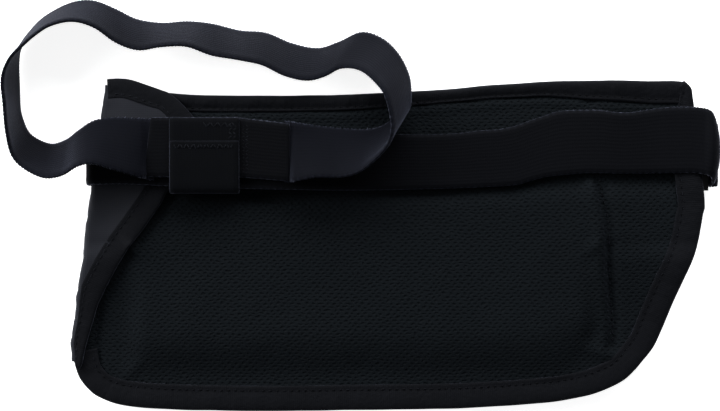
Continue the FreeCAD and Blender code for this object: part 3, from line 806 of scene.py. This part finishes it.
free_line = smooth_line(FREE, 8)
fold_line = smooth_line(FOLD, 8)
rows = []
WING_COLUMNS = 26
for y in np.arange(-66.5, 51.6, 1.1):
    fold_x = np.interp(y, fold_line[:, 1], fold_line[:, 0])
    free_x = np.interp(y, free_line[:, 1], free_line[:, 0])
    row = []
    for k in range(WING_COLUMNS):
        share = (k / (WING_COLUMNS - 1)) ** 0.8
        x = free_x - 0.8 + (fold_x + 1.2 - free_x + 0.8) * share
        near = math.exp(-(x - fold_x) / 9.0)
        free = step((free_x - x) / 12.0)
        crease = 0.50 * near * noise.noise(Vector((x / 11.0, y / 3.6, 3.3)))
        crease = crease * (0.4 + 0.6 * step((y + 5.0) / 10.0)) + 0.25 * free * wobble(x, y, 13.0, 9)
        row.append((x, y, wing_high(x, y) + crease))
    z_top, z_low = wing_high(fold_x, y), front_z(fold_x, y)
    middle, half = (z_top + z_low) / 2, (z_top - z_low) / 2
    for k in range(1, 12):
        angle = math.pi * k / 12
        pinch = 0.45 * noise.noise(Vector((k / 5.0, y / 3.4, 8.8)))
        row.append((fold_x + 1.0 - (1.9 + pinch) * math.sin(angle) ** 0.7, y, middle + half * math.cos(angle)))
    for k in range(1, 4):
        x = fold_x + 1.0 + 1.6 * k
        row.append((x, y, front_z(x, y) + 0.1))
    rows.append(row)
wing = closed_grid("left_wing_nylon", rows, 0.5, LOOK["wing"], ["left_wing_face", "left_wing_fold"])

wing_edge = np.vstack([free_line, fold_line[::-1]])
wing_plan, _ = offset_line(resample(wing_edge, 2.0), 0.9, 1)
panel("left_wing_mesh_lining", wing_plan, wing_low, lambda x, y: wing_low(x, y) + 1.2, 2.6,
      LOOK["mesh"], ["left_wing_lining"])


def wing_rim(x, y):
    return wing_high(x, y) + 0.45


def wing_width(p):
    usual = 9.3 - 1.4 * step((p[1] - 8.0) / 20.0)
    room = float(distance_to([p], fold_line)[0]) - 0.3
    return max(0.8, min(usual, room)) if p[1] < 0.0 else usual


wing_made = binding("left_wing_binding", free_line, wing_width, wing_rim, wing_low, 1, ["wing_binding"],
                    puff=0.5, seed=3.0)
stitches("left_wing_stitching", seam_on(wing_made[1], wing_made[2], wing_made[3], 0.80, wing_rim, 0.22), "pouch",
         LOOK["dark_thread"], pitch=3.0, length=1.8)

# ------------------------------------------------------------------ belt pulled tight round the pouch
RIGHT_TURN = [(36.0, 3.7, 28.7, 3.0), (90.0, 7.7, 33.0, 3.0), (148.6, 8.6, 34.6, 3.0), (150.0, 8.2, 35.2, 4.6),
              (150.2, 8.6, 36.0, 7.4), (150.7, 10.2, 38.0, 10.4), (148.9, 12.8, 40.4, 12.6)]
LEFT_TURN = [(-113.8, 9.3, 15.6), (-115.8, 9.2, 13.0), (-116.0, 9.0, 9.5), (-115.6, 8.8, 7.0), (-113.2, 8.5, 5.5),
             (-109.0, 8.2, 5.2), (-92.0, 7.2, 6.5), (-30.0, 3.9, 6.5)]
INSERT_STRAP = [(-60.0, 3.7, 4.9), (-55.0, 3.7, 4.8), (-44.0, 3.7, 3.1), (-28.0, 3.7, 3.0), (-4.0, 3.7, 3.0)]


def strap_top_z(x, low_y):
    over_wing = step((-12.0 - x) / 19.0)
    return top_z(x, low_y + 12.5) + 1.2 + 4.0 * over_wing + 0.7 * step((x - 120.0) / 20.0)


tight_low = [(x, low, z) for x, low, high, z in RIGHT_TURN]
tight_low += [(x, low, strap_top_z(x, low)) for x, low, high in STRAP_TOP] + LEFT_TURN
tight_high = [(x, high, z) for x, low, high, z in RIGHT_TURN]
tight_high += [(x, high, strap_top_z(x, low)) for x, low, high in STRAP_TOP]
tight_high += [(x, low + STRAP_WIDTH, z) for x, low, z in LEFT_TURN]


def drawn_in(p):
    """The belt is drawn in where it turns round the pouch's right edge."""
    return -2.5 * step((p[0] - 146.5) / 3.0) * step((p[2] - 5.5) / 3.5)


ribbon("belt_tight_turn", smooth_line(tight_low, 8), smooth_line(tight_high, 8), STRAP_THICK, "pouch",
       LOOK["strap"], ["belt_strap"], seed=1.3, ripple=0.25, belly=drawn_in)

sewn = smooth_line(INSERT_STRAP, 8)
ribbon("belt_on_insert", sewn, sewn + np.array([0, STRAP_WIDTH, 0]), STRAP_THICK, "insert",
       LOOK["strap"], ["insert_strap"], seed=2.9)

# ------------------------------------------------------------------ slack ring standing on edge
# Foot (x, y, z) of the ribbon and head (x, y) of its other selvage.
RING = [
    (-32.0, 35.4, 20.3, -32.0, 10.43), (-29.4, 35.1, 20.3, -29.4, 10.15), (-19.0, 33.6, 17.4, -18.3, 11.9),
    (-8.5, 32.6, 16.0, -8.3, 11.9),
    (2.1, 32.0, 15.9, -0.4, 14.1), (8.5, 33.2, 15.9, 5.4, 18.2), (13.1, 35.8, 15.6, 9.5, 22.1),
    (17.0, 38.3, 15.2, 12.0, 25.8), (20.4, 41.0, 14.8, 13.1, 30.4), (21.6, 46.0, 14.2, 13.0, 35.3),
    (20.8, 55.1, 12.6, 10.4, 46.0), (16.3, 64.8, 8.0, 4.8, 53.4),
    (9.9, 71.6, 3.0, -1.3, 57.6), (0.9, 74.5, 0.8, -8.5, 58.2), (-8.6, 70.3, 0.8, -15.2, 54.9),
    (-18.1, 67.5, 0.8, -22.8, 53.1), (-29.8, 69.9, 0.8, -32.1, 55.0), (-40.6, 74.2, 0.8, -41.3, 59.5),
    (-51.8, 75.1, 0.8, -51.4, 61.7), (-63.8, 77.9, 0.8, -62.4, 63.7), (-74.6, 79.0, 0.8, -73.2, 67.3),
    (-85.4, 78.3, 0.8, -84.1, 67.1), (-96.6, 80.0, 0.8, -93.6, 66.0), (-106.1, 84.8, 0.8, -103.0, 69.0),
    (-115.6, 88.2, 0.8, -112.1, 75.2), (-125.1, 86.9, 0.8, -121.1, 77.7), (-135.5, 81.3, 0.8, -130.2, 75.8),
    (-142.4, 74.4, 0.8, -136.8, 71.6), (-146.3, 68.4, 0.8, -142.7, 66.3), (-147.3, 61.9, 0.8, -147.6, 61.0),
    (-147.3, 54.1, 0.8, -150.2, 53.5), (-146.9, 46.4, 0.8, -149.8, 44.3), (-146.0, 38.2, 0.8, -148.5, 30.0),
    (-142.4, 30.4, 1.0, -144.8, 19.2), (-133.0, 26.2, 6.0, -134.0, 12.2), (-125.2, 27.8, 12.0, -124.9, 12.4),
    (-118.7, 31.6, 17.6, -116.9, 16.6), (-112.0, 35.6, 19.0, -110.6, 17.6), (-103.0, 36.8, 19.8, -101.8, 15.0),
    (-89.8, 36.3, 20.3, -89.8, 11.34),
    (-87.0, 36.1, 20.3, -87.0, 11.14),
]
feet = smooth_line([r[:3] for r in RING], 8)
heads_plan = smooth_line([(r[3], r[4], 0.0) for r in RING], 8)
heads = heads_plan.copy()
for i, (foot, head) in enumerate(zip(feet, heads_plan)):
    lean = math.hypot(head[0] - foot[0], head[1] - foot[1])
    rise = math.sqrt(max(0.0, STRAP_WIDTH ** 2 - lean ** 2))
    heads[i][2] = foot[2] + rise * step((rise - 1.0) / 5.0)
ribbon("belt_slack_ring", feet, heads, STRAP_THICK, "pouch", LOOK["ring"], ["strap_ring"],
       seed=4.4, belly=lambda p: 0.35, ripple=0.35, teeth=0.42)

# ------------------------------------------------------------------ sewn end and keeper
end_path = [(-86.0, 19.6), (-60.0, 19.6), (-31.8, 19.6), (-30.3, 20.1), (-30.1, 20.7), (-31.6, 21.2),
            (-46.0, 21.25), (-48.6, 21.0), (-51.0, 21.3), (-66.0, 21.2), (-87.0, 21.2), (-89.2, 20.8),
            (-89.6, 20.2), (-88.4, 19.7)]
end_line = smooth_line([(x, 0.0, z) for x, z in end_path], 6)
slant = np.clip((end_line[:, :1] + 52.0) / 22.0, 0.0, 1.0)
lean = np.clip((-84.0 - end_line[:, :1]) / 5.0, 0.0, 1.0)
end_low = end_line + np.hstack([-1.3 * lean, 12.4 - 1.8 * slant, 0 * slant])
end_high = end_line + np.hstack([1.6 * lean, 36.8 - 2.6 * slant, 0 * slant])
ribbon("belt_sewn_end", end_low, end_high, 1.15, "pouch", LOOK["strap_end"],
       ["strap_end_piece"], seed=6.1)

keeper_path = [(21.5, 16.95), (9.0, 16.95), (6.7, 17.4), (6.2, 19.0), (6.3, 21.2), (7.7, 22.4), (14.0, 22.6),
               (25.0, 22.6), (34.8, 22.5), (36.6, 21.4), (36.9, 19.4), (36.6, 17.6), (34.8, 16.95), (22.5, 16.95)]
keeper_line = smooth_line([(-80.0, y, z) for y, z in keeper_path], 6)
ribbon("keeper_band", keeper_line, keeper_line + np.array([28.9, 0, 0]), KEEPER_THICK, "keeper",
       LOOK["keeper"], ["strap_keeper"], seed=8.2, teeth=0.15)
flap_path = [(27.0, 23.1), (26.4, 23.35), (20.0, 23.5), (13.0, 23.5), (7.5, 23.3), (5.8, 22.2), (5.4, 20.6),
             (5.4, 19.2), (5.5, 17.9)]
flap_line = smooth_line([(-79.8, y, z) for y, z in flap_path], 6)
ribbon("keeper_overlap", flap_line, flap_line + np.array([28.5, 0, 0]), KEEPER_THICK, "keeper",
       LOOK["keeper"], [], seed=9.2, teeth=0.15)


def column(x, y0, y1, z, count=20):
    """Points along Y."""
    return [(x, y0 + (y1 - y0) * k / count, z) for k in range(count + 1)]


def row_line(y, x0, x1, z, count=20):
    """Points along X."""
    return [(x0 + (x1 - x0) * k / count, y, z) for k in range(count + 1)]


for index, x in enumerate((-49.4, -47.6)):
    stitches(f"end_bartack_{index}", column(x, 13.2, 35.4, 21.6), "pouch",
             LOOK["dark_thread"], pitch=1.5, length=1.9, radius=0.2, turn=0.9)
for index, x in enumerate((-54.6, -52.8)):
    stitches(f"keeper_bartack_{index}", column(x, 28.0, 35.6, 22.95), "keeper",
             LOOK["dark_thread"], pitch=1.6, length=2.0, radius=0.2, turn=0.8)
stitches("keeper_zigzag_top", row_line(34.0, -66.0, -52.0, 22.95), "keeper",
         LOOK["dark_thread"], pitch=1.5, length=2.4, radius=0.2, turn=1.0)
stitches("keeper_zigzag_seam", row_line(24.8, -78.5, -52.5, 23.9), "keeper",
         LOOK["dark_thread"], pitch=1.4, length=2.0, radius=0.2, turn=1.1)
for side, seam in (("right", RIGHT_SEAM), ("left", LEFT_SEAM)):
    line = [(x, y, back_top(x, y) + 0.05) for x, y in resample(seam, 1.0)]
    stitches(f"pocket_seam_{side}", line, "pouch", LOOK["dimple_shaded_thread"], pitch=3.0, length=2.0)

# ------------------------------------------------------------------ zip coils
COIL_START, COIL_LENGTH, COIL_Z = -90.0, 178.0, 8.12
for zip_name, centre in ZIP_LINES.items():
    verts, faces = [], []
    for half in (-1, 1):
        turns, per_turn, sides = 142, 10, 5
        start = len(verts)
        total = turns * per_turn
        for i in range(total + 1):
            angle = 2 * math.pi * i / per_turn
            x = COIL_START + COIL_LENGTH * i / total + (0.6 if half > 0 else 0.0)
            base = np.array([x, centre + half * 0.42 + 0.78 * math.cos(angle), COIL_Z + 0.42 * math.sin(angle)])
            radial = np.array([0.0, math.cos(angle), math.sin(angle)])
            for k in range(sides):
                a = 2 * math.pi * k / sides
                verts.append(base + 0.24 * (radial * math.cos(a) + np.array([1.0, 0, 0]) * math.sin(a)))
        for i in range(total):
            for k in range(sides):
                a, b = start + i * sides + k, start + i * sides + (k + 1) % sides
                faces.append((a, b, b + sides, a + sides))
        faces.append(tuple(start + k for k in range(sides - 1, -1, -1)))
        faces.append(tuple(start + total * sides + k for k in range(sides)))
    add_object(f"{zip_name}_zip_teeth", verts, faces, "pouch", LOOK["coil"], [f"{zip_name}_zip_coil"])

# ------------------------------------------------------------------ hard parts carried over from the CAD
# Look and width of the softened edges in mm.
HARD = {"zip_stops": ("metal", 0.25), "zip_slider": ("metal", 0.3), "zip_pull": ("metal", 0.22)}
for name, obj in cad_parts.items():
    kind = next((v for k, v in HARD.items() if name.endswith(k)), None)
    if name.startswith("buckle") or name == "strap_adjuster":
        kind = ("plastic", 0.35)
    if kind is None:
        continue
    for index in range(max(1, len(obj.material_slots))):
        if obj.material_slots:
            obj.material_slots[index].material = LOOK[kind[0]]
    bevel = obj.modifiers.new("soft_edges", "BEVEL")
    bevel.width = kind[1] * MM
    bevel.segments = 3
    bevel.limit_method = "ANGLE"
    bevel.angle_limit = math.radians(40)
    bevel.harden_normals = False

# ------------------------------------------------------------------ floor, light and camera
FLOOR_HALF, FLOOR_Z = 3.0, -0.0002
floor_mesh = bpy.data.meshes.new("floor")
corners = [(-FLOOR_HALF, -FLOOR_HALF), (FLOOR_HALF, -FLOOR_HALF), (FLOOR_HALF, FLOOR_HALF), (-FLOOR_HALF, FLOOR_HALF)]
floor_mesh.from_pydata([(x, y, FLOOR_Z) for x, y in corners], [], [(0, 1, 2, 3)])
floor = bpy.data.objects.new("floor", floor_mesh)
bpy.context.scene.collection.objects.link(floor)
floor_look = Graph("floor_white")
floor_look.shader.inputs["Base Color"].default_value = (0.92, 0.92, 0.92, 1.0)
floor_look.set(Roughness=0.9, Specular_IOR_Level=0.1, Emission_Strength=0.85)
floor_look.shader.inputs["Emission Color"].default_value = (1.0, 1.0, 1.0, 1.0)
floor.data.materials.append(floor_look.material)


def area_light(name, place, aim, size, power, colour=(1.0, 1.0, 1.0)):
    data = bpy.data.lights.new(name, "AREA")
    data.shape = "RECTANGLE"
    data.size, data.size_y = size
    data.energy = power
    data.color = colour
    light = bpy.data.objects.new(name, data)
    bpy.context.scene.collection.objects.link(light)
    light.location = place
    light.rotation_euler = (Vector(aim) - Vector(place)).to_track_quat("-Z", "Y").to_euler()


area_light("window_top", (0.1, 1.3, 0.8), (0, 0.05, 0), (2.2, 0.8), 40.0)
area_light("side_left", (-1.3, 0.55, 0.6), (0, 0, 0), (0.8, 1.2), 28.0)
area_light("side_right", (1.2, 0.95, 0.6), (0, 0, 0), (0.8, 1.0), 1.5)
area_light("fill_low", (0.0, -1.4, 0.8), (0, 0, 0), (2.2, 0.8), 2.0)

world = bpy.data.worlds.new("studio")
bpy.context.scene.world = world
world.use_nodes = True
world.node_tree.nodes["Background"].inputs["Color"].default_value = (0.95, 0.97, 1.0, 1.0)
world.node_tree.nodes["Background"].inputs["Strength"].default_value = 0.13
bpy.context.scene.view_settings.view_transform = "Standard"

CAMERA_HEIGHT = 0.900
SUBJECT_HEIGHT = 0.013
FRAME_WIDTH = 0.3064
SENSOR = 36.0
camera_data = bpy.data.cameras.new("camera")
camera_data.sensor_width = SENSOR
camera_data.lens = SENSOR * (CAMERA_HEIGHT - SUBJECT_HEIGHT) / FRAME_WIDTH
camera = bpy.data.objects.new("camera", camera_data)
camera.location = (0.0, 0.0, CAMERA_HEIGHT)
bpy.context.scene.collection.objects.link(camera)
bpy.context.scene.camera = camera
